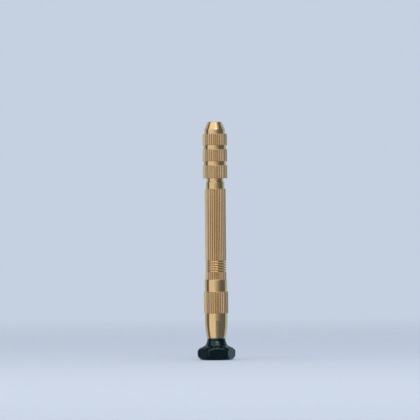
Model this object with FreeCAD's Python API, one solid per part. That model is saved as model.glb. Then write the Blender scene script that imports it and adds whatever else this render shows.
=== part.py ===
"""Pin vise drill: a brass hand drill with double-ended collets, a screw-off storage handle and a swivel knob.

It stands nose up on the end face of its knob. The origin is the centre of that face, and +Z is the axis of
the tool, towards the nose. Lengths are millimetres.

Each separate piece is written to parts/NODE.step as its own solid.
"""

import FreeCAD
import Part

import math
import os

# Overall heights along the axis, from the knob's end face.
TOTAL_LENGTH = 100.0
HANDLE_BOTTOM = 9.15  # the handle's rear face, where the knob turns
JOINT_Z = 33.8  # where the front body's shoulder meets the handle
SHANK_TOP = 71.9  # the fluted grip's front shoulder
NUT_BOTTOM = 76.3  # the chuck nut's rear face with the jaws closed

# Screw threads. Both ends of the front body carry the same fine thread.
FINE_THREAD_D = 8.0
FINE_PITCH = 0.75
SCREW_THREAD_D = 3.0
SCREW_PITCH = 0.5
THREAD_GAP = 0.05  # between the flanks, crests and roots of a mated pair
SCREW_GAP = 0.035
ISO_MALE_DEPTH = 0.6134  # of the pitch, from crest to root
ISO_MINOR_STEP = 1.0825  # of the pitch, from the major diameter to the minor diameter
ISO_FLANK = math.tan(math.radians(30))

# Straight knurls.
NUT_D = 10.2
NUT_TEETH = 36
GRIP_D = 8.76
GRIP_TEETH = 32
KNURL_DEPTH = 0.28
BAND_EDGE = 0.22  # rounding of a knurled band's ends

# Chuck nut.
NUT_BANDS = ((76.3, 81.8), (83.4, 88.5), (90.2, 95.0))
NUT_GROOVE_D = 9.5
NOSE_BASE_D = 8.6
NOSE_BASE_Z = 96.9
NOSE_TIP_D = 5.7
NOSE_HOLE_D = 3.7
NUT_BORE_D = 6.1
NUT_THREAD_Z = (78.3, 83.9)
NUT_RECESS_D = 8.3
LEAD_IN = 0.2  # chamfer at the mouth of a bore

# Double-ended collets.
COLLET_LENGTH = 28.0
COLLET_D = 5.6
COLLET_WAIST_D = 4.7
COLLET_TIP_D = 4.3
COLLET_TAPER = 3.2
COLLET_HEAD = 3.6
COLLET_WAIST = 3.2
COLLET_BORE_DEPTH = 11.5
SLIT_LENGTH = 10.0
SLIT_WIDTH = 0.4
WORKING_BORES = (3.2, 1.8)  # front end, rear end
SPARE_BORES = (2.5, 1.0)
WORKING_COLLET_TOP = 98.4
SPARE_COLLET_BOTTOM = 13.5
CONE_GAP = 0.03  # between a collet's taper and its seat

# Front body.
COLLET_BORE_D = 5.75
SHANK_HOLE_D = 3.6  # takes the tail of a long drill behind the collet
SHANK_HOLE_BOTTOM = 62.0
NECK_D = 7.8
RELIEF_D = 7.0
RELIEF_Z = 74.8
FRONT_THREAD_TOP = 82.6
RING_COUNT = 5
RING_PITCH = 1.03
RING_WIDTH = 0.5
RING_D = 8.1
RING_SLOPE = 0.06  # half the height that each side of a ring groove takes up
FIRST_RING_Z = 37.3
TAIL_BOTTOM = 28.6
TAIL_RELIEF_Z = 33.1

# Handle.
STORE_D = 5.95
STORE_BOTTOM = 13.4
STORE_TOP = 45.0  # the storage bore runs on into the front body
SLEEVE_D = 9.4
HANDLE_BAND_D = 10.2
HANDLE_BAND_Z = (19.6, 28.7)
TAPER_TOP_D = 9.5
TAPER_START_Z = 16.4  # below this the handle draws in along an arc
TAPER_MIDDLE = (4.53, 13.12)  # radius and height of a place on that arc
HANDLE_END_D = 7.6
HANDLE_END_CHAMFER = (0.12, 0.1)
HANDLE_THREAD_BOTTOM = 27.8
JOINT_GAP = 0.02

# Swivel knob and its pivot.
KNOB_FLATS = 14.0
KNOB_ROUND_D = 16.2
KNOB_WIDEST_Z = 3.0
KNOB_FOOT_D = 12.5
KNOB_FOOT_SIDE = (7.48, 1.05)  # radius and height of a place on each of its arcs, and of their ends
KNOB_DOME_SIDE = (7.62, 4.4)
KNOB_SHOULDER = (5.9, 5.75)
KNOB_HOLLOW = (4.45, 6.5)
KNOB_NECK_Z = 7.6
KNOB_NECK_D = 7.6
KNOB_TOP = 9.0
KNOB_TOP_CHAMFER = 0.15
KNOB_EDGE = 0.3
PIVOT_D = 3.5
PIVOT_GAP = 0.05
BUSH_D = 5.0
BUSH_FLANGE_D = 6.4
BUSH_FLANGE = 0.6
WEB_BOTTOM = 3.3
THRUST_WASHER_D = 6.2
THRUST_WASHER = 0.4
HEAD_WASHER_D = 6.0
HEAD_WASHER = 0.3
WASHER_EDGE = 0.06
RUN_GAP = 0.02  # axial play of the knob at each washer
SCREW_HEAD_D = 5.6
SCREW_HEAD = 1.35
SCREW_LENGTH = 4.0
DRIVER_SLOT_WIDTH = 0.9
DRIVER_SLOT_DEPTH = 0.75
HEAD_RECESS_D = 6.6
CAP_D = 8.4
CAP_THICKNESS = 0.9
CAP_INSET = 0.12  # how far the cap sits inside the knob's end face
CAP_DISH = 0.25
CAP_SKIRT_HEIGHT = 0.4
CAP_SKIRT_WALL = 0.45

AXIS = FreeCAD.Vector(0, 0, 1)
CENTRE = FreeCAD.Vector(0, 0, 0)


def point(r, z):
    """A point of a turned profile, at radius r and height z."""
    return FreeCAD.Vector(r, 0, z)


def turned(*corners):
    """A solid of revolution. Each corner is (radius, height) or (radius, height, fillet radius)."""
    places = [point(c[0], c[1]) for c in corners]
    fillets = [c[2] if len(c) > 2 else 0.0 for c in corners]
    starts, ends, arcs = [], [], []
    for i, here in enumerate(places):
        back = (places[i - 1] - here).normalize()
        ahead = (places[(i + 1) % len(places)] - here).normalize()
        half = back.getAngle(ahead) / 2
        reach = fillets[i] / math.tan(half) if fillets[i] else 0.0
        first, last = here + back * reach, here + ahead * reach
        starts.append(first)
        ends.append(last)
        if reach:
            bisector = (back + ahead).normalize()
            middle = here + bisector * (fillets[i] / math.sin(half) - fillets[i])
            arcs.append(Part.Arc(first, middle, last).toShape())
        else:
            arcs.append(None)
    edges = []
    for i in range(len(places)):
        if arcs[i]:
            edges.append(arcs[i])
        following = starts[(i + 1) % len(places)]
        if ends[i].distanceToPoint(following) > 1e-7:
            edges.append(Part.LineSegment(ends[i], following).toShape())
    face = Part.Face(Part.Wire(edges))
    solid = face.revolve(CENTRE, AXIS, 360)
    return solid if solid.Volume > 0 else solid.reversed()


def drilled(diameter, bottom, top):
    """A plain round tool for a hole between two heights."""
    return Part.makeCylinder(diameter / 2, top - bottom, point(0, bottom), AXIS)


def knurled_bar(diameter, teeth, bottom, top):
    """A bar with straight V grooves at 90 degrees and crests that keep the bar's round surface."""
    outer, root = diameter / 2, diameter / 2 - KNURL_DEPTH
    step = 2 * math.pi / teeth
    groove = 2 * KNURL_DEPTH / outer
    edges = []

    def at(radius, angle):
        return FreeCAD.Vector(radius * math.cos(angle), radius * math.sin(angle), bottom)

    for i in range(teeth):
        crest_start = i * step + groove / 2
        crest_end = (i + 1) * step - groove / 2
        valley = (i + 1) * step
        crest_middle = (crest_start + crest_end) / 2
        edges.append(
            Part.Arc(at(outer, crest_start), at(outer, crest_middle), at(outer, crest_end)).toShape()
        )
        edges.append(Part.LineSegment(at(outer, crest_end), at(root, valley)).toShape())
        next_start = valley + groove / 2
        edges.append(Part.LineSegment(at(root, valley), at(outer, next_start)).toShape())
    return Part.Face(Part.Wire(edges)).extrude(point(0, top - bottom))


def knurled_band(diameter, bottom, top):
    """A short knurled bar whose two ends are rounded."""
    rounded = turned(
        (0, bottom),
        (diameter / 2, bottom, BAND_EDGE),
        (diameter / 2, top, BAND_EDGE),
        (0, top),
    )
    return knurled_bar(diameter, NUT_TEETH, bottom, top).common(rounded)


def core_r(major_d, pitch):
    """Radius of a male thread's root."""
    return major_d / 2 - ISO_MALE_DEPTH * pitch


def minor_r(major_d, pitch):
    """Radius of the bore that a female thread is cut in."""
    return (major_d - ISO_MINOR_STEP * pitch) / 2


def helical_ridge(major_d, pitch, bottom, top, grow, sunk):
    """A right-hand thread's ridge between two heights, with the ISO 60 degree form.

    Every ridge of one pitch is in step: its crest crosses the +X side at whole multiples of the pitch above
    z = 0. grow widens the ridge all round, for the tool that cuts the mating thread. sunk carries its root
    that far into the core.
    """
    crest = major_d / 2 + grow
    root = core_r(major_d, pitch) - sunk
    half_crest = pitch / 16 + grow * (1 / math.cos(math.radians(30)) - ISO_FLANK)
    half_root = half_crest + (crest - root) * ISO_FLANK
    start = math.floor(bottom / pitch - 1) * pitch
    turns = math.ceil((top - start) / pitch + 1)
    helix = Part.makeHelix(pitch, turns * pitch, root)
    helix.translate(point(0, start))
    profile = Part.makePolygon(
        [
            point(root, start - half_root),
            point(crest, start - half_crest),
            point(crest, start + half_crest),
            point(root, start + half_root),
            point(root, start - half_root),
        ]
    )
    ridge = Part.Wire(helix.Edges).makePipeShell([profile], True, True)
    return ridge if ridge.Volume > 0 else ridge.reversed()


def with_male_thread(body, major_d, pitch, bottom, top, bevel):
    """Adds a thread to a bar that is already turned to the thread's core size, with bevelled ends."""
    outer = major_d / 2
    core = core_r(major_d, pitch)
    envelope = turned(
        (core - 2 * bevel, bottom),
        (core, bottom),
        (outer, bottom + bevel),
        (outer, top - bevel),
        (core, top),
        (core - 2 * bevel, top),
    )
    ridge = helical_ridge(major_d, pitch, bottom, top, 0.0, 0.04).common(envelope)
    return body.fuse(ridge)


def with_female_thread(body, major_d, pitch, bottom, top, gap):
    """Cuts a thread between two heights into a hole that is already at the thread's minor size."""
    tool = helical_ridge(major_d, pitch, bottom, top, gap, 0.25)
    span = drilled(major_d + 2, bottom, top)
    return body.cut(tool.common(span))


def one_solid(shape):
    """The single solid of a finished piece."""
    shape = shape.removeSplitter()
    solids = shape.Solids
    if len(solids) != 1 or not shape.isValid():
        raise RuntimeError(f"expected one valid solid, got {len(solids)}, valid {shape.isValid()}")
    return solids[0]


def chuck_nut():
    """Knurled nut whose inner cone closes the collet's jaws."""
    groove_r = NUT_GROOVE_D / 2
    collar_z = NUT_BANDS[-1][0] + 0.5
    nut = turned(
        (0, NUT_BOTTOM),
        (groove_r, NUT_BOTTOM),
        (groove_r, collar_z),
        (NOSE_BASE_D / 2, collar_z),
        (NOSE_BASE_D / 2, NOSE_BASE_Z, 0.5),
        (NOSE_TIP_D / 2, TOTAL_LENGTH, 0.45),
        (0, TOTAL_LENGTH),
    )
    for bottom, top in NUT_BANDS:
        nut = nut.fuse(knurled_band(NUT_D, bottom, top))
    thread_bottom, thread_top = NUT_THREAD_Z
    thread_r = minor_r(FINE_THREAD_D, FINE_PITCH)
    recess_r = NUT_RECESS_D / 2
    mouth_r = NOSE_HOLE_D / 2
    tip_z = WORKING_COLLET_TOP
    cone_top_r = COLLET_TIP_D / 2 + CONE_GAP
    slope = (COLLET_D - COLLET_TIP_D) / 2 / COLLET_TAPER
    cone_bottom_z = tip_z - (NUT_BORE_D / 2 - cone_top_r) / slope
    inside = turned(
        (0, NUT_BOTTOM - 1),
        (recess_r + LEAD_IN, NUT_BOTTOM - 1),
        (recess_r + LEAD_IN, NUT_BOTTOM),
        (recess_r, NUT_BOTTOM + LEAD_IN),
        (recess_r, thread_bottom),
        (thread_r, thread_bottom + 0.5),
        (thread_r, thread_top),
        (NUT_BORE_D / 2, thread_top + 0.6),
        (NUT_BORE_D / 2, cone_bottom_z),
        (cone_top_r, tip_z),
        (mouth_r, tip_z),
        (mouth_r, TOTAL_LENGTH - LEAD_IN),
        (mouth_r + LEAD_IN, TOTAL_LENGTH),
        (mouth_r + LEAD_IN, TOTAL_LENGTH + 1),
        (0, TOTAL_LENGTH + 1),
    )
    nut = nut.cut(inside)
    nut = with_female_thread(nut, FINE_THREAD_D, FINE_PITCH, thread_bottom, thread_top, THREAD_GAP)
    return one_solid(nut)


def collet(top, bores):
    """Double-ended spring collet: two split, tapered heads either side of a solid middle."""
    front_bore, rear_bore = bores
    bottom = top - COLLET_LENGTH
    head, waist, tip = COLLET_D / 2, COLLET_WAIST_D / 2, COLLET_TIP_D / 2
    ramp = (head - waist) * 0.8
    front = [
        (waist, top - COLLET_TAPER - COLLET_HEAD - COLLET_WAIST + ramp, 0.2),
        (waist, top - COLLET_TAPER - COLLET_HEAD - ramp, 0.2),
        (head, top - COLLET_TAPER - COLLET_HEAD, 0.1),
        (head, top - COLLET_TAPER, 0.5),
        (tip, top, 0.2),
    ]
    rear = [(c[0], bottom + top - c[1], c[2]) for c in reversed(front)]
    body = turned(
        (0, bottom),
        *rear,
        (head, bottom + COLLET_TAPER + COLLET_HEAD + COLLET_WAIST, 0.1),
        (head, top - COLLET_TAPER - COLLET_HEAD - COLLET_WAIST, 0.1),
        *front,
        (0, top),
    )
    body = body.cut(drilled(front_bore, top - COLLET_BORE_DEPTH, top + 1))
    body = body.cut(drilled(rear_bore, bottom - 1, bottom + COLLET_BORE_DEPTH))
    for low, high in ((top - SLIT_LENGTH, top + 1), (bottom - 1, bottom + SLIT_LENGTH)):
        blade = Part.makeBox(COLLET_D + 2, SLIT_WIDTH, high - low)
        blade.translate(FreeCAD.Vector(-COLLET_D / 2 - 1, -SLIT_WIDTH / 2, low))
        for angle in (45, 135):
            cutter = blade.copy()
            cutter.rotate(CENTRE, AXIS, angle)
            body = body.cut(cutter)
    return one_solid(body)


def front_body():
    """Fluted grip with a fine thread at each end, the working collet's seat and half of the storage bore."""
    grip = knurled_bar(GRIP_D, GRIP_TEETH, JOINT_Z, SHANK_TOP)
    outline = [(0, JOINT_Z), (GRIP_D / 2, JOINT_Z, 0.15)]
    for i in range(RING_COUNT):
        low = FIRST_RING_Z + i * RING_PITCH - RING_WIDTH / 2
        high = low + RING_WIDTH
        outline += [
            (GRIP_D / 2, low - RING_SLOPE),
            (RING_D / 2, low + RING_SLOPE, 0.1),
            (RING_D / 2, high - RING_SLOPE, 0.1),
            (GRIP_D / 2, high + RING_SLOPE),
        ]
    outline += [(GRIP_D / 2, SHANK_TOP, BAND_EDGE), (0, SHANK_TOP)]
    grip = grip.common(turned(*outline))
    core = core_r(FINE_THREAD_D, FINE_PITCH)
    front = turned(
        (0, SHANK_TOP - 1),
        (NECK_D / 2, SHANK_TOP - 1),
        (NECK_D / 2, RELIEF_Z, 0.2),
        (RELIEF_D / 2, RELIEF_Z, 0.12),
        (RELIEF_D / 2, NUT_BOTTOM),
        (core, NUT_BOTTOM),
        (core, FRONT_THREAD_TOP, 0.2),
        (0, FRONT_THREAD_TOP),
    )
    tail = turned(
        (0, TAIL_BOTTOM),
        (core, TAIL_BOTTOM, 0.15),
        (core, TAIL_RELIEF_Z),
        (RELIEF_D / 2, TAIL_RELIEF_Z),
        (RELIEF_D / 2, JOINT_Z + 1),
        (0, JOINT_Z + 1),
    )
    body = grip.fuse([front, tail])
    body = with_male_thread(body, FINE_THREAD_D, FINE_PITCH, NUT_BOTTOM, FRONT_THREAD_TOP, 0.35)
    body = with_male_thread(body, FINE_THREAD_D, FINE_PITCH, TAIL_BOTTOM, TAIL_RELIEF_Z, 0.35)
    seat_bottom = WORKING_COLLET_TOP - COLLET_LENGTH
    slope = (COLLET_D - COLLET_TIP_D) / 2 / COLLET_TAPER
    seat_r = COLLET_TIP_D / 2 + CONE_GAP
    bore = turned(
        (0, SHANK_HOLE_BOTTOM),
        (SHANK_HOLE_D / 2, SHANK_HOLE_BOTTOM + 1.0),
        (SHANK_HOLE_D / 2, seat_bottom),
        (seat_r, seat_bottom),
        (COLLET_BORE_D / 2, seat_bottom + (COLLET_BORE_D / 2 - seat_r) / slope),
        (COLLET_BORE_D / 2, FRONT_THREAD_TOP - LEAD_IN),
        (COLLET_BORE_D / 2 + LEAD_IN, FRONT_THREAD_TOP),
        (COLLET_BORE_D / 2 + LEAD_IN, FRONT_THREAD_TOP + 1),
        (0, FRONT_THREAD_TOP + 1),
    )
    store = turned(
        (0, TAIL_BOTTOM - 1),
        (STORE_D / 2 + LEAD_IN, TAIL_BOTTOM - 1),
        (STORE_D / 2 + LEAD_IN, TAIL_BOTTOM),
        (STORE_D / 2, TAIL_BOTTOM + LEAD_IN),
        (STORE_D / 2, STORE_TOP),
        (0, STORE_TOP + 1.6),
    )
    return one_solid(body.cut([bore, store]))


def handle_sleeve():
    """Rear half of the handle: storage tube with a knurled band, tapering to the swivel knob."""
    top = JOINT_Z - JOINT_GAP
    band_low, band_high = HANDLE_BAND_Z
    sleeve = turned(
        (0, band_low + 1),
        (SLEEVE_D / 2, band_low + 1),
        (SLEEVE_D / 2, top, 0.25),
        (0, top),
    )
    taper_r, end_r = TAPER_TOP_D / 2, HANDLE_END_D / 2
    chamfer_r, chamfer_z = HANDLE_END_CHAMFER
    taper_start = point(taper_r, TAPER_START_Z)
    taper_end = point(end_r + chamfer_r, HANDLE_BOTTOM + chamfer_z)
    edges = [
        Part.LineSegment(point(0, HANDLE_BOTTOM), point(end_r, HANDLE_BOTTOM)),
        Part.LineSegment(point(end_r, HANDLE_BOTTOM), taper_end),
        Part.Arc(taper_end, point(*TAPER_MIDDLE), taper_start),
        Part.LineSegment(taper_start, point(taper_r, band_low + 1)),
        Part.LineSegment(point(taper_r, band_low + 1), point(0, band_low + 1)),
        Part.LineSegment(point(0, band_low + 1), point(0, HANDLE_BOTTOM)),
    ]
    taper = Part.Face(Part.Wire([e.toShape() for e in edges])).revolve(CENTRE, AXIS, 360)
    handle = sleeve.fuse([taper, knurled_band(HANDLE_BAND_D, band_low, band_high)])
    thread_r = minor_r(FINE_THREAD_D, FINE_PITCH)
    mouth_r = FINE_THREAD_D / 2 + 0.1
    inside = turned(
        (0, STORE_BOTTOM),
        (STORE_D / 2, STORE_BOTTOM, 0.3),
        (STORE_D / 2, HANDLE_THREAD_BOTTOM),
        (thread_r, HANDLE_THREAD_BOTTOM + 0.3),
        (thread_r, top - 0.5),
        (mouth_r, top),
        (mouth_r, top + 1),
        (0, top + 1),
    )
    handle = handle.cut(inside)
    handle = with_female_thread(
        handle, FINE_THREAD_D, FINE_PITCH, HANDLE_THREAD_BOTTOM + 0.3, top + 0.1, THREAD_GAP
    )
    screw_mouth_r = SCREW_THREAD_D / 2 + 0.1
    screw_r = minor_r(SCREW_THREAD_D, SCREW_PITCH)
    screw_hole = turned(
        (0, HANDLE_BOTTOM - 1),
        (screw_mouth_r, HANDLE_BOTTOM - 1),
        (screw_mouth_r, HANDLE_BOTTOM),
        (screw_r, HANDLE_BOTTOM + screw_mouth_r - screw_r),
        (screw_r, STORE_BOTTOM + 1),
        (0, STORE_BOTTOM + 1),
    )
    handle = handle.cut(screw_hole)
    handle = with_female_thread(
        handle, SCREW_THREAD_D, SCREW_PITCH, HANDLE_BOTTOM - 0.1, STORE_BOTTOM + 0.1, SCREW_GAP
    )
    return one_solid(handle)


def pivot_screw():
    """Shoulder screw that the knob turns on, driven into the handle's rear end."""
    head_top = WEB_BOTTOM - RUN_GAP - HEAD_WASHER
    head_bottom = head_top - SCREW_HEAD
    core = core_r(SCREW_THREAD_D, SCREW_PITCH)
    thread_top = HANDLE_BOTTOM + SCREW_LENGTH
    blank = turned(
        (0, head_bottom),
        (SCREW_HEAD_D / 2, head_bottom, 0.3),
        (SCREW_HEAD_D / 2, head_top, 0.1),
        (PIVOT_D / 2, head_top),
        (PIVOT_D / 2, HANDLE_BOTTOM, 0.1),
        (core, HANDLE_BOTTOM),
        (core, thread_top),
        (0, thread_top),
    )
    screw = with_male_thread(blank, SCREW_THREAD_D, SCREW_PITCH, HANDLE_BOTTOM + 0.35, thread_top, 0.25)
    slot = Part.makeBox(SCREW_HEAD_D + 1, DRIVER_SLOT_WIDTH, DRIVER_SLOT_DEPTH)
    slot.translate(FreeCAD.Vector(-(SCREW_HEAD_D + 1) / 2, -DRIVER_SLOT_WIDTH / 2, head_bottom))
    return one_solid(screw.cut(slot))


def flat_washer(outer_d, bottom, top):
    """Pressed steel washer that runs on the pivot."""
    inner_r, outer_r = PIVOT_D / 2 + PIVOT_GAP, outer_d / 2
    return turned(
        (inner_r, bottom, WASHER_EDGE),
        (outer_r, bottom, WASHER_EDGE),
        (outer_r, top, WASHER_EDGE),
        (inner_r, top, WASHER_EDGE),
    )


def thrust_washer():
    """Steel washer between the handle's rear face and the bush's flange."""
    return flat_washer(THRUST_WASHER_D, HANDLE_BOTTOM - THRUST_WASHER, HANDLE_BOTTOM)


def head_washer():
    """Steel washer between the screw's head and the bush's lower end."""
    top = WEB_BOTTOM - RUN_GAP
    return flat_washer(HEAD_WASHER_D, top - HEAD_WASHER, top)


def flange_top():
    """Height of the bush's running face."""
    return HANDLE_BOTTOM - THRUST_WASHER - RUN_GAP


def knob_bush():
    """Brass bush pressed into the knob, with a flange that takes the palm's thrust."""
    bore_r = PIVOT_D / 2 + PIVOT_GAP
    top = flange_top()
    return one_solid(
        turned(
            (bore_r, WEB_BOTTOM, 0.1),
            (BUSH_D / 2, WEB_BOTTOM, 0.1),
            (BUSH_D / 2, top - BUSH_FLANGE),
            (BUSH_FLANGE_D / 2, top - BUSH_FLANGE),
            (BUSH_FLANGE_D / 2, top, 0.1),
            (bore_r, top, 0.1),
        )
    )


def swivel_knob():
    """Moulded hexagonal palm knob, domed above and rounded below, with a short neck."""
    foot, widest = point(KNOB_FOOT_D / 2, 0), point(KNOB_ROUND_D / 2, KNOB_WIDEST_Z)
    shoulder, neck_foot = point(*KNOB_SHOULDER), point(KNOB_NECK_D / 2, KNOB_NECK_Z)
    neck_top = point(KNOB_NECK_D / 2, KNOB_TOP - KNOB_TOP_CHAMFER)
    top_edge = point(KNOB_NECK_D / 2 - KNOB_TOP_CHAMFER, KNOB_TOP)
    edges = [
        Part.LineSegment(CENTRE, foot),
        Part.Arc(foot, point(*KNOB_FOOT_SIDE), widest),
        Part.Arc(widest, point(*KNOB_DOME_SIDE), shoulder),
        Part.Arc(shoulder, point(*KNOB_HOLLOW), neck_foot),
        Part.LineSegment(neck_foot, neck_top),
        Part.LineSegment(neck_top, top_edge),
        Part.LineSegment(top_edge, point(0, KNOB_TOP)),
        Part.LineSegment(point(0, KNOB_TOP), CENTRE),
    ]
    round_form = Part.Face(Part.Wire([e.toShape() for e in edges])).revolve(CENTRE, AXIS, 360)
    across = KNOB_FLATS / math.sqrt(3)
    corners = []
    for i in range(7):
        angle = math.radians(60 * i)
        corners.append(FreeCAD.Vector(across * math.cos(angle), across * math.sin(angle), -1))
    hexagon = Part.Face(Part.makePolygon(corners)).extrude(point(0, KNOB_TOP + 2))
    upright = [e for e in hexagon.Edges if abs(e.Vertexes[0].Z - e.Vertexes[1].Z) > 1]
    hexagon = hexagon.makeFillet(KNOB_EDGE, upright)
    knob = round_form.common(hexagon)
    flange_bottom = flange_top() - BUSH_FLANGE
    pocket = turned(
        (0, -1),
        (CAP_D / 2, -1),
        (CAP_D / 2, CAP_INSET + CAP_THICKNESS),
        (HEAD_RECESS_D / 2, CAP_INSET + CAP_THICKNESS),
        (HEAD_RECESS_D / 2, WEB_BOTTOM),
        (BUSH_D / 2, WEB_BOTTOM),
        (BUSH_D / 2, flange_bottom),
        (BUSH_FLANGE_D / 2, flange_bottom),
        (BUSH_FLANGE_D / 2, KNOB_TOP + 1),
        (0, KNOB_TOP + 1),
    )
    return one_solid(knob.cut(pocket))


def palm_cap():
    """Disc that closes the knob's end over the screw's head, held by a short skirt. Its face is dished."""
    low, high = CAP_INSET, CAP_INSET + CAP_THICKNESS
    rim, skirt = CAP_D / 2, HEAD_RECESS_D / 2
    skirt_top, skirt_inner = high + CAP_SKIRT_HEIGHT, skirt - CAP_SKIRT_WALL
    return one_solid(
        turned(
            (0, low + CAP_DISH),
            (rim - 1.2, low + CAP_DISH, 0.8),
            (rim - 0.5, low, 0.3),
            (rim, low, 0.15),
            (rim, high),
            (skirt, high),
            (skirt, skirt_top, 0.1),
            (skirt_inner, skirt_top, 0.1),
            (skirt_inner, high),
            (0, high),
        )
    )


def main():
    os.makedirs("parts", exist_ok=True)
    pieces = {
        "chuck_nut": chuck_nut,
        "working_collet": lambda: collet(WORKING_COLLET_TOP, WORKING_BORES),
        "front_body": front_body,
        "spare_collet": lambda: collet(SPARE_COLLET_BOTTOM + COLLET_LENGTH, SPARE_BORES),
        "handle_sleeve": handle_sleeve,
        "pivot_screw": pivot_screw,
        "thrust_washer": thrust_washer,
        "head_washer": head_washer,
        "knob_bush": knob_bush,
        "swivel_knob": swivel_knob,
        "palm_cap": palm_cap,
    }
    for name, make in pieces.items():
        solid = make()
        solid.exportStep(f"parts/{name}.step")
        print(f"{name}: {solid.Volume:.1f} mm3, {len(solid.Faces)} faces, valid {solid.isValid()}")


main()
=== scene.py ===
import math

import bpy
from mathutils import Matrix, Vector


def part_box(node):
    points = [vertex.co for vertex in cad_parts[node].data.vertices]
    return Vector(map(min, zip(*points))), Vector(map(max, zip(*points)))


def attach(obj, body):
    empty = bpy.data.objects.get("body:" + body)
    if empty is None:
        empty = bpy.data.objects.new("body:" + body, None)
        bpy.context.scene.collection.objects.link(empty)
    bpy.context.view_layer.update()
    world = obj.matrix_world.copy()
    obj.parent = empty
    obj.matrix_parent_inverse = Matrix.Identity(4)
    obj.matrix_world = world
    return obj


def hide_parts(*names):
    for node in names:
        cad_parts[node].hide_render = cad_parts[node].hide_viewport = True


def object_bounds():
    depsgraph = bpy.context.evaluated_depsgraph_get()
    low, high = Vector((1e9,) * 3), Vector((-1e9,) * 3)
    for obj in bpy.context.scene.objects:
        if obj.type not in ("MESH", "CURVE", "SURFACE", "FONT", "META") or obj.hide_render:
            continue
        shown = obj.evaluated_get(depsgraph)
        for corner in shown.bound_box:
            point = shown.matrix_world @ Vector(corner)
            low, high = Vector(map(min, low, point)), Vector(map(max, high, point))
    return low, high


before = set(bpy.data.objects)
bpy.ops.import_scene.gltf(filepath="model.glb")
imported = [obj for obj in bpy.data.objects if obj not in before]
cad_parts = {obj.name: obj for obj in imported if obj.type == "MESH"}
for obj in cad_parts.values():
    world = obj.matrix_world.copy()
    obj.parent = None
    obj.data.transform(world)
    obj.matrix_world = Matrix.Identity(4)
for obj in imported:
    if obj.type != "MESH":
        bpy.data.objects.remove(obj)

cad_low, cad_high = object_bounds()
MM = 0.001


# ------------------------------------------------------------------------------------------------------------
# Front body. The grip is one brass bar, turned, straight-knurled and threaded at both ends, then dipped in a
# bright chemical polish that keeps it from tarnishing. Crests and ring floors come out a clear gold, and the
# bottoms of the flutes keep a duller, browner film.
# ------------------------------------------------------------------------------------------------------------

def new_material(name):
    """An empty node material with its shader, its output and the piece's own coordinates."""
    material = bpy.data.materials.new(name)
    material.use_nodes = True
    tree = material.node_tree
    tree.nodes.clear()
    output = tree.nodes.new("ShaderNodeOutputMaterial")
    shader = tree.nodes.new("ShaderNodeBsdfPrincipled")
    tree.links.new(shader.outputs["BSDF"], output.inputs["Surface"])
    place = tree.nodes.new("ShaderNodeTexCoord")
    return material, tree, shader, place.outputs["Object"]


def speckle(tree, place, per_metre, detail=2.0, stretch=(1, 1, 1)):
    """Noise from 0 to 1 with that many features in a metre, or more of them along a stretched axis."""
    mapping = tree.nodes.new("ShaderNodeMapping")
    mapping.inputs["Scale"].default_value = [per_metre * s for s in stretch]
    noise = tree.nodes.new("ShaderNodeTexNoise")
    noise.inputs["Scale"].default_value = 1.0
    noise.inputs["Detail"].default_value = detail
    tree.links.new(place, mapping.inputs["Vector"])
    tree.links.new(mapping.outputs["Vector"], noise.inputs["Vector"])
    return noise.outputs["Fac"]


def remap(tree, value, from_low, from_high, to_low, to_high):
    """A clamped straight-line change of range."""
    node = tree.nodes.new("ShaderNodeMapRange")
    node.inputs["From Min"].default_value = from_low
    node.inputs["From Max"].default_value = from_high
    node.inputs["To Min"].default_value = to_low
    node.inputs["To Max"].default_value = to_high
    tree.links.new(value, node.inputs["Value"])
    return node.outputs["Result"]


def blend_colour(tree, amount, first, second):
    """first where amount is 0 and second where it is 1. Each is a colour or a socket."""
    node = tree.nodes.new("ShaderNodeMix")
    node.data_type = "RGBA"
    for name, value in (("A", first), ("B", second)):
        socket = next(s for s in node.inputs if s.name == name and s.type == "RGBA")
        if isinstance(value, bpy.types.NodeSocket):
            tree.links.new(value, socket)
        else:
            socket.default_value = (*value, 1.0)
    tree.links.new(amount, node.inputs["Factor"])
    return next(s for s in node.outputs if s.type == "RGBA")


def arithmetic(tree, operation, first, second):
    """One maths step on a socket and a number or another socket."""
    node = tree.nodes.new("ShaderNodeMath")
    node.operation = operation
    for i, value in enumerate((first, second)):
        if isinstance(value, bpy.types.NodeSocket):
            tree.links.new(value, node.inputs[i])
        else:
            node.inputs[i].default_value = value
    return node.outputs["Value"]


def radius_from_axis(tree, place):
    """Distance from the tool's axis, in metres."""
    flat = tree.nodes.new("ShaderNodeVectorMath")
    flat.operation = "MULTIPLY"
    flat.inputs[1].default_value = (1, 1, 0)
    tree.links.new(place, flat.inputs[0])
    length = tree.nodes.new("ShaderNodeVectorMath")
    length.operation = "LENGTH"
    tree.links.new(flat.outputs["Vector"], length.inputs[0])
    return length.outputs["Value"]


def raise_surface(tree, shader, height, depth, strength):
    """Fine relief of that depth in metres."""
    bump = tree.nodes.new("ShaderNodeBump")
    bump.inputs["Strength"].default_value = strength
    bump.inputs["Distance"].default_value = depth
    tree.links.new(height, bump.inputs["Height"])
    tree.links.new(bump.outputs["Normal"], shader.inputs["Normal"])


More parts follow.
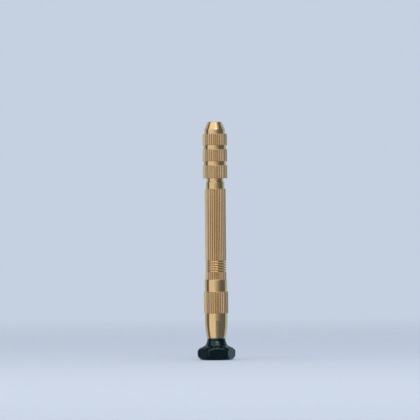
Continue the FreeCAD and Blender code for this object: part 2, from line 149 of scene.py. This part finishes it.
def polished_brass(name, root_r, crest_r):
    """Turned brass after its chemical polish, with a film in the knurl between those two radii."""
    gold, rose, pale = (0.80, 0.55, 0.29), (0.76, 0.50, 0.255), (0.86, 0.635, 0.37)
    film, film_roughness = (0.56, 0.46, 0.33), 0.14
    plain_r, knurl_starts_r = root_r - 0.03 * MM, root_r - 0.01 * MM
    along_axis, round_axis = (1, 1, 0.12), (1, 1, 70)
    material, tree, shader, place = new_material(name)
    cloud = speckle(tree, place, per_metre=95, detail=3.0)
    colour = blend_colour(tree, remap(tree, cloud, 0.35, 0.65, 0.0, 1.0), gold, rose)
    streak = speckle(tree, place, per_metre=220, detail=3.0, stretch=along_axis)
    colour = blend_colour(tree, remap(tree, streak, 0.5, 0.75, 0.0, 0.5), colour, pale)
    radius = radius_from_axis(tree, place)
    depth = remap(tree, radius, root_r, crest_r, 1.0, 0.0)
    knurled = remap(tree, radius, plain_r, knurl_starts_r, 0.0, 1.0)
    flute = arithmetic(tree, "MULTIPLY", depth, knurled)
    stain = arithmetic(tree, "MULTIPLY", flute, remap(tree, cloud, 0.3, 0.7, 0.7, 1.0))
    colour = blend_colour(tree, stain, colour, film)
    tree.links.new(colour, shader.inputs["Base Color"])
    shader.inputs["Metallic"].default_value = 1.0
    smudge = speckle(tree, place, per_metre=260, detail=4.0)
    shine = remap(tree, smudge, 0.3, 0.7, 0.08, 0.15)
    dullness = remap(tree, flute, 0.0, 1.0, 0.0, film_roughness)
    tree.links.new(arithmetic(tree, "ADD", shine, dullness), shader.inputs["Roughness"])
    turning_marks = speckle(tree, place, per_metre=60, detail=2.0, stretch=round_axis)
    raise_surface(tree, shader, turning_marks, depth=0.002 * MM, strength=0.25)
    return material


def finish_with(node, material):
    """Gives a CAD node its finish."""
    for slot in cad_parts[node].material_slots:
        slot.material = material


grip_crest = 4.38 * MM
knurl_depth = 0.28 * MM
finish_with("front_body", polished_brass("grip_brass", grip_crest - knurl_depth, grip_crest))


# ------------------------------------------------------------------------------------------------------------
# Collets. Two double-ended steel sleeves, each end slit into four jaws and turned to a cone, then hardened
# and brass-plated. One works in the nose and the other waits in the handle. The thin plating is satin outside
# and has worn off the tips and out of the bores, where the drill is gripped.
# ------------------------------------------------------------------------------------------------------------

def plated_steel(name, low, high):
    """Brass plate that gives way to grey steel in the bore and within the last part of each tip."""
    plate, thin_plate, steel = (0.74, 0.56, 0.32), (0.68, 0.54, 0.36), (0.46, 0.46, 0.46)
    worn_tip, worn_bore_r, bore_fade = 0.7 * MM, 1.9 * MM, 0.2 * MM
    material, tree, shader, place = new_material(name)
    cloud = speckle(tree, place, per_metre=320, detail=4.0)
    colour = blend_colour(tree, remap(tree, cloud, 0.3, 0.7, 0.0, 1.0), plate, thin_plate)
    coordinates = tree.nodes.new("ShaderNodeSeparateXYZ")
    tree.links.new(place, coordinates.inputs["Vector"])
    height = coordinates.outputs["Z"]
    upper = remap(tree, height, high - worn_tip, high, 0.0, 1.0)
    lower = remap(tree, height, low, low + worn_tip, 1.0, 0.0)
    bore = remap(tree, radius_from_axis(tree, place), worn_bore_r - bore_fade, worn_bore_r, 1.0, 0.0)
    wear = arithmetic(tree, "MAXIMUM", arithmetic(tree, "MAXIMUM", upper, lower), bore)
    wear = arithmetic(tree, "MULTIPLY", wear, remap(tree, cloud, 0.35, 0.6, 0.55, 1.0))
    tree.links.new(blend_colour(tree, wear, colour, steel), shader.inputs["Base Color"])
    shader.inputs["Metallic"].default_value = 1.0
    satin = remap(tree, speckle(tree, place, per_metre=700, detail=3.0), 0.3, 0.7, 0.20, 0.32)
    tree.links.new(satin, shader.inputs["Roughness"])
    turning_marks = speckle(tree, place, per_metre=60, detail=2.0, stretch=(1, 1, 90))
    raise_surface(tree, shader, turning_marks, depth=0.003 * MM, strength=0.3)
    return material


for collet in ("working_collet", "spare_collet"):
    collet_low, collet_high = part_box(collet)
    finish_with(collet, plated_steel(f"{collet}_plating", collet_low.z, collet_high.z))


# ------------------------------------------------------------------------------------------------------------
# Chuck nut. Turned from the same brass, with three knurled bands and two plain grooves, and polished with the
# body. It screws over the front body and its inner cone squeezes the jaws.
# ------------------------------------------------------------------------------------------------------------

nut_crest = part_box("chuck_nut")[1].x
finish_with("chuck_nut", polished_brass("nut_brass", nut_crest - knurl_depth, nut_crest))


# ------------------------------------------------------------------------------------------------------------
# Handle sleeve. A brass tube with one knurled band and a tapered tail, screwed onto the rear of the body. It
# gets the same polish, and the plain collar and tail show it best.
# ------------------------------------------------------------------------------------------------------------

handle_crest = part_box("handle_sleeve")[1].x
finish_with("handle_sleeve", polished_brass("handle_brass", handle_crest - knurl_depth, handle_crest))


# ------------------------------------------------------------------------------------------------------------
# Pivot. A steel shoulder screw, driven up into the handle, holds the knob by its brass bush between two steel
# washers. They are bought-in or plain turned parts with no polish, only oil.
# ------------------------------------------------------------------------------------------------------------

def bright_steel(name):
    """Machined steel, a little uneven in tone."""
    material, tree, shader, place = new_material(name)
    darker, lighter = (0.48, 0.49, 0.51), (0.62, 0.63, 0.64)
    grain = speckle(tree, place, per_metre=900, detail=3.0)
    tree.links.new(blend_colour(tree, grain, darker, lighter), shader.inputs["Base Color"])
    shader.inputs["Metallic"].default_value = 1.0
    tree.links.new(remap(tree, grain, 0.3, 0.7, 0.22, 0.36), shader.inputs["Roughness"])
    raise_surface(tree, shader, grain, depth=0.002 * MM, strength=0.3)
    return material


def oiled_brass(name):
    """Plain turned brass, browner and duller than the polished pieces."""
    material, tree, shader, place = new_material(name)
    brown, yellow = (0.60, 0.40, 0.19), (0.74, 0.52, 0.27)
    grain = speckle(tree, place, per_metre=500, detail=3.0)
    tree.links.new(blend_colour(tree, grain, brown, yellow), shader.inputs["Base Color"])
    shader.inputs["Metallic"].default_value = 1.0
    tree.links.new(remap(tree, grain, 0.3, 0.7, 0.24, 0.38), shader.inputs["Roughness"])
    return material


pivot_steel = bright_steel("pivot_steel")
for node in ("pivot_screw", "thrust_washer", "head_washer"):
    finish_with(node, pivot_steel)
finish_with("knob_bush", oiled_brass("bush_brass"))


# ------------------------------------------------------------------------------------------------------------
# Palm knob. A black plastic moulding that stays still in the palm: a domed round form under a short neck, cut
# by six flats. The mould leaves every edge softly rounded. The bush is pressed into its middle, and the
# pocket in its end takes the cap.
# ------------------------------------------------------------------------------------------------------------

def arc_points(first, middle, last, count):
    """Points along the arc through three places, leaving out its first."""
    (ax, ay), (bx, by), (cx, cy) = first, middle, last
    twice_area = 2 * (ax * (by - cy) + bx * (cy - ay) + cx * (ay - by))
    a2, b2, c2 = ax * ax + ay * ay, bx * bx + by * by, cx * cx + cy * cy
    middle_x = (a2 * (by - cy) + b2 * (cy - ay) + c2 * (ay - by)) / twice_area
    middle_y = (a2 * (cx - bx) + b2 * (ax - cx) + c2 * (bx - ax)) / twice_area
    radius = math.hypot(ax - middle_x, ay - middle_y)
    start = math.atan2(ay - middle_y, ax - middle_x)
    end = math.atan2(cy - middle_y, cx - middle_x)
    sweep = (end - start + math.pi) % math.tau - math.pi
    places = []
    for i in range(1, count + 1):
        angle = start + sweep * i / count
        places.append((middle_x + radius * math.cos(angle), middle_y + radius * math.sin(angle)))
    return places


def begin_piece(name):
    """Names the primitive that was just added and opens it in edit mode with everything selected."""
    piece = bpy.context.object
    piece.name = piece.data.name = name
    bpy.ops.object.mode_set(mode="EDIT")
    bpy.ops.mesh.select_all(action="SELECT")
    return piece


def apply_modifier(piece, kind, **settings):
    """Adds a modifier to a piece and applies it at once."""
    modifier = piece.modifiers.new(kind.lower(), kind)
    for name, value in settings.items():
        setattr(modifier, name, value)
    bpy.ops.object.modifier_apply(modifier=modifier.name)


def moulded_black(name, gloss_low, gloss_high):
    """Black plastic with a faint green-blue cast and the fine uneven gloss of a mould's surface."""
    material, tree, shader, place = new_material(name)
    deep, worn = (0.0002, 0.0014, 0.0018), (0.0006, 0.0026, 0.0034)
    cloud = remap(tree, speckle(tree, place, per_metre=300, detail=3.0), 0.4, 0.7, 0.0, 1.0)
    tree.links.new(blend_colour(tree, cloud, deep, worn), shader.inputs["Base Color"])
    handled = speckle(tree, place, per_metre=700, detail=4.0)
    tree.links.new(remap(tree, handled, 0.3, 0.7, gloss_low, gloss_high), shader.inputs["Roughness"])
    shader.inputs["IOR"].default_value = 1.5
    shader.inputs["Specular Tint"].default_value = (0.48, 0.93, 1.0, 1.0)
    mould_grain = speckle(tree, place, per_metre=2600, detail=2.0)
    raise_surface(tree, shader, mould_grain, depth=0.004 * MM, strength=0.3)
    return material


# Half the knob's section in millimetres, as radius and height: up its outside and back down through its bore.
knob_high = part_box("swivel_knob")[1] / MM
flat, neck_top, corner_round = knob_high.y - 0.005, knob_high.z, 0.45
foot_r, foot_z, neck_r = 6.25, 0.01, 3.82
widest, shoulder, hollow, flare, neck_foot = (8.25, 3.0), (6.2, 5.32), (5.2, 5.82), (4.42, 6.75), (3.86, 8.4)
cap_pocket_r, cap_pocket_z = 4.2, 1.02
screw_pocket_r, screw_pocket_z = 3.3, 3.3
bush_r, flange_r, flange_z = 2.5, 3.2, 8.13
foot = (foot_r, foot_z)
foot_side, dome_side, hollow_side, flare_side = (7.52, 1.05), (7.63, 4.38), (4.69, 6.2), (4.08, 7.5)
knob_outline = [(cap_pocket_r, foot_z), foot]
knob_outline += arc_points(foot, foot_side, widest, 12)
knob_outline += arc_points(widest, dome_side, shoulder, 10)
knob_outline += [hollow] + arc_points(hollow, hollow_side, flare, 6)
knob_outline += arc_points(flare, flare_side, neck_foot, 6)
knob_outline += [(neck_r, neck_top), (flange_r, neck_top), (flange_r, flange_z), (bush_r, flange_z)]
knob_outline += [(bush_r, screw_pocket_z), (screw_pocket_r, screw_pocket_z)]
knob_outline += [(screw_pocket_r, cap_pocket_z), (cap_pocket_r, cap_pocket_z)]

bpy.ops.object.select_all(action="DESELECT")
bpy.ops.mesh.primitive_plane_add(size=MM, location=(0, 0, 0))
knob = begin_piece("palm_knob")
bpy.ops.mesh.merge(type="CENTER")
here = (0.0, 0.0)
for i, (r, z) in enumerate(knob_outline + knob_outline[:1]):
    step = ((r - here[0]) * MM, 0, (z - here[1]) * MM)
    if i == 0:
        bpy.ops.transform.translate(value=step)
    else:
        bpy.ops.mesh.extrude_vertices_move(TRANSFORM_OT_translate={"value": step})
    here = (r, z)
bpy.ops.mesh.select_all(action="SELECT")
bpy.ops.mesh.remove_doubles(threshold=0.001 * MM)
bpy.ops.mesh.spin(steps=144, angle=math.tau, center=(0, 0, 0), axis=(0, 0, 1))
bpy.ops.mesh.select_all(action="SELECT")
bpy.ops.mesh.remove_doubles(threshold=0.001 * MM)
bpy.ops.mesh.normals_make_consistent(inside=False)

# Six of these cuts make the flats and the ones between them round the corners.
cuts = 36
for i in range(cuts):
    degrees = 360 * i / cuts
    turn = math.radians(degrees)
    from_corner = math.radians((degrees + 30) % 60 - 30)
    reach = corner_round + (flat - corner_round) * math.cos(from_corner) / math.cos(math.radians(30))
    outward = Vector((math.cos(turn), math.sin(turn), 0))
    bpy.ops.mesh.select_all(action="SELECT")
    bpy.ops.mesh.bisect(
        plane_co=outward * reach * MM,
        plane_no=outward,
        use_fill=True,
        clear_outer=True,
        threshold=0.0001 * MM,
    )
bpy.ops.object.mode_set(mode="OBJECT")
apply_modifier(knob, "REMESH", mode="VOXEL", voxel_size=0.1 * MM)
apply_modifier(knob, "SMOOTH", factor=0.5, iterations=14)
bpy.ops.object.shade_smooth()
knob.data.materials.append(moulded_black("knob_black", gloss_low=0.08, gloss_high=0.15))
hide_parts("swivel_knob")
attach(knob, "knob")


# ------------------------------------------------------------------------------------------------------------
# Palm cap. A thin black moulded disc that clicks into the knob's end over the screw. It has a flat rim, a
# shallow dish with the gate's mark in its middle, and a short skirt that holds it.
# ------------------------------------------------------------------------------------------------------------

# Millimetres. The disc's face looks down, and its back carries the skirt.
cap_r, cap_face, cap_back = 4.15, 0.12, 1.02
rim_width, dish_slope, dish_depth = 0.55, 0.35, 0.25
skirt_r, skirt_wall, skirt_height = 3.25, 0.45, 0.4
gate_r, gate_height = 0.45, 0.08
edge_round = 0.09

bpy.ops.object.select_all(action="DESELECT")
bpy.ops.mesh.primitive_circle_add(vertices=96, radius=cap_r * MM, fill_type="NGON", location=(0, 0, 0))
cap = begin_piece("palm_cap_disc")
bpy.ops.transform.translate(value=(0, 0, cap_back * MM))
bpy.ops.mesh.extrude_region_move(TRANSFORM_OT_translate={"value": (0, 0, (cap_face - cap_back) * MM)})
bpy.ops.mesh.inset(thickness=rim_width * MM)
bpy.ops.mesh.inset(thickness=dish_slope * MM)
bpy.ops.transform.translate(value=(0, 0, dish_depth * MM))
bpy.ops.mesh.inset(thickness=(cap_r - rim_width - dish_slope - gate_r) * MM)
bpy.ops.mesh.extrude_region_move(TRANSFORM_OT_translate={"value": (0, 0, -gate_height * MM)})
bpy.ops.object.mode_set(mode="OBJECT")
back = max(cap.data.polygons, key=lambda face: face.center.z)
for element in (*cap.data.vertices, *cap.data.edges, *cap.data.polygons):
    element.select = False
back.select = True
bpy.ops.object.mode_set(mode="EDIT")
bpy.ops.mesh.select_mode(type="FACE")
bpy.ops.mesh.inset(thickness=(cap_r - skirt_r) * MM)
bpy.ops.mesh.inset(thickness=skirt_wall * MM)
bpy.ops.object.mode_set(mode="OBJECT")
skirt_inner = (skirt_r - skirt_wall) * MM
for face in cap.data.polygons:
    spread = math.hypot(face.center.x, face.center.y)
    at_back = face.center.z > (cap_face + cap_back) / 2 * MM
    face.select = at_back and skirt_inner < spread < skirt_r * MM
bpy.ops.object.mode_set(mode="EDIT")
bpy.ops.mesh.extrude_region_move(TRANSFORM_OT_translate={"value": (0, 0, skirt_height * MM)})
bpy.ops.mesh.select_all(action="SELECT")
bpy.ops.mesh.normals_make_consistent(inside=False)
bpy.ops.object.mode_set(mode="OBJECT")
apply_modifier(cap, "BEVEL", width=edge_round * MM, segments=3, limit_method="ANGLE")
bpy.ops.object.shade_smooth_by_angle(angle=math.radians(35))
cap.data.materials.append(moulded_black("cap_black", gloss_low=0.32, gloss_high=0.46))
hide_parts("palm_cap")
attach(cap, "knob")


# ------------------------------------------------------------------------------------------------------------
# Studio. The tool stands on a plain pale floor that fades into a pale room. A large soft box stands at its
# left, and a row of dimmer strips runs from the middle to its right with one more below them. Three boxes and
# a small lamp hang above, and two boxes behind it light the rims.
# ------------------------------------------------------------------------------------------------------------

VIEW_TURN = -5.5  # degrees, so that the knob's front flat faces a little to the right
VIEW_DISTANCE = 2.0
FRAME_WIDTH = 176.5 * MM
AIM_HEIGHT = 63.0 * MM
AIM_LEFT = 2.25 * MM
LEAN = 0.475  # degrees that the tool leans to the left, as the camera sees it
LIGHT_DISTANCE = 0.85
FLOOR_RADIUS, FADE_STARTS, FADE_ENDS = 1.6, 0.08, 0.75


def direction(turn, rise=0.0):
    """Unit vector from the tool to a place at that turn from the camera, positive to the right, and rise."""
    a, e = math.radians(VIEW_TURN + turn), math.radians(rise)
    return Vector((math.sin(a) * math.cos(e), -math.cos(a) * math.cos(e), math.sin(e)))


def soft_box(name, turn, rise, width, height, brightness, tint, lift=0.0):
    """A soft box that faces the tool and doesn't show itself. A white wall in daylight has brightness 1."""
    light = bpy.data.lights.new(name, "AREA")
    light.shape = "RECTANGLE"
    light.size = width
    light.size_y = height
    light.energy = brightness * math.pi * width * height
    light.color = tint
    lamp = bpy.data.objects.new(name, light)
    bpy.context.scene.collection.objects.link(lamp)
    lamp.location = direction(turn, rise) * LIGHT_DISTANCE + Vector((0, 0, cad_high.z / 2 + lift))
    lamp.rotation_mode = "QUATERNION"
    lamp.rotation_quaternion = direction(turn, rise).to_track_quat("Z", "Y")
    lamp.visible_camera = False


box_height, strip_height = 1.3, 1.1
below_foot = 5 * MM  # how far the strips at the right reach below the knob's end face
strip_lift = strip_height / 2 - cad_high.z / 2 - below_foot
# Each line gives turn and rise in degrees, width and height in metres, brightness, tint and any lift.
soft_box("left_box", -46, 0, 1.05, box_height, 0.71, (1.0, 0.985, 0.94))
soft_box("middle_strip", -7.5, 0, 0.22, box_height, 0.52, (1.0, 0.95, 0.88))
soft_box("right_strip", 7.5, 0, 0.22, strip_height, 0.42, (1.0, 0.99, 0.98), strip_lift)
soft_box("far_right_strip", 21, 0, 0.18, strip_height, 0.24, (0.94, 0.98, 1.0), strip_lift)
soft_box("edge_strip", 36, 0, 0.26, strip_height, 0.12, (0.80, 0.92, 1.0), strip_lift)
soft_box("low_strip", 15, -17, 0.30, 0.30, 0.10, (1.0, 0.98, 0.95))
soft_box("top_box", -28, 50, 1.3, 0.6, 1.0, (1.0, 1.0, 0.98))
soft_box("top_right_box", 36, 50, 0.5, 0.6, 0.40, (0.95, 0.98, 1.0))
soft_box("roof_box", 0, 84, 0.8, 0.6, 1.00, (1.0, 1.0, 1.0))
soft_box("front_lamp", 9, 35, 0.46, 0.28, 3.2, (1.0, 1.0, 1.0))
soft_box("left_rim", -138, 0, 0.90, box_height, 0.42, (0.95, 0.97, 1.0))
soft_box("right_rim", 138, 0, 1.00, box_height, 0.50, (0.66, 0.88, 1.0))

world = bpy.data.worlds.new("room")
bpy.context.scene.world = world
world.use_nodes = True
room = world.node_tree
room.nodes.clear()
pale = room.nodes.new("ShaderNodeBackground")
pale.inputs["Color"].default_value = (0.56, 0.63, 0.75, 1)
dim = room.nodes.new("ShaderNodeBackground")
dim.inputs["Color"].default_value = (0.14, 0.165, 0.20, 1)
ray = room.nodes.new("ShaderNodeLightPath")
choice = room.nodes.new("ShaderNodeMixShader")
room_output = room.nodes.new("ShaderNodeOutputWorld")
room.links.new(ray.outputs["Is Glossy Ray"], choice.inputs["Fac"])
room.links.new(pale.outputs["Background"], choice.inputs[1])
room.links.new(dim.outputs["Background"], choice.inputs[2])
room.links.new(choice.outputs["Shader"], room_output.inputs["Surface"])

bpy.ops.object.select_all(action="DESELECT")
bpy.ops.mesh.primitive_circle_add(vertices=96, radius=FLOOR_RADIUS, fill_type="NGON", location=(0, 0, 0))
floor = bpy.context.object
floor.name = "floor"
floor_paint, floor_tree, floor_shader, floor_place = new_material("floor_paint")
floor_shader.inputs["Base Color"].default_value = (0.52, 0.55, 0.61, 1)
floor_shader.inputs["Roughness"].default_value = 0.7
from_centre = radius_from_axis(floor_tree, floor_place)
fade = remap(floor_tree, from_centre, FADE_STARTS, FADE_ENDS, 1.0, 0.0)
floor_tree.links.new(fade, floor_shader.inputs["Alpha"])
floor.data.materials.append(floor_paint)
floor.visible_glossy = False
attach(floor, "knob")  # the tool stands on its knob, which goes down as the handle is unscrewed

camera_data = bpy.data.cameras.new("camera")
camera_data.sensor_width = 36.0
camera_data.lens = camera_data.sensor_width * VIEW_DISTANCE / FRAME_WIDTH
camera_data.clip_end = 20.0
camera = bpy.data.objects.new("camera", camera_data)
bpy.context.scene.collection.objects.link(camera)
right = Vector((math.cos(math.radians(VIEW_TURN)), math.sin(math.radians(VIEW_TURN)), 0))
aim = Vector((0, 0, AIM_HEIGHT)) - right * AIM_LEFT
camera.location = aim + direction(0) * VIEW_DISTANCE
camera.rotation_euler = (math.radians(90), math.radians(LEAN), math.radians(VIEW_TURN))
bpy.context.scene.camera = camera
bpy.context.scene.view_settings.view_transform = "Standard"
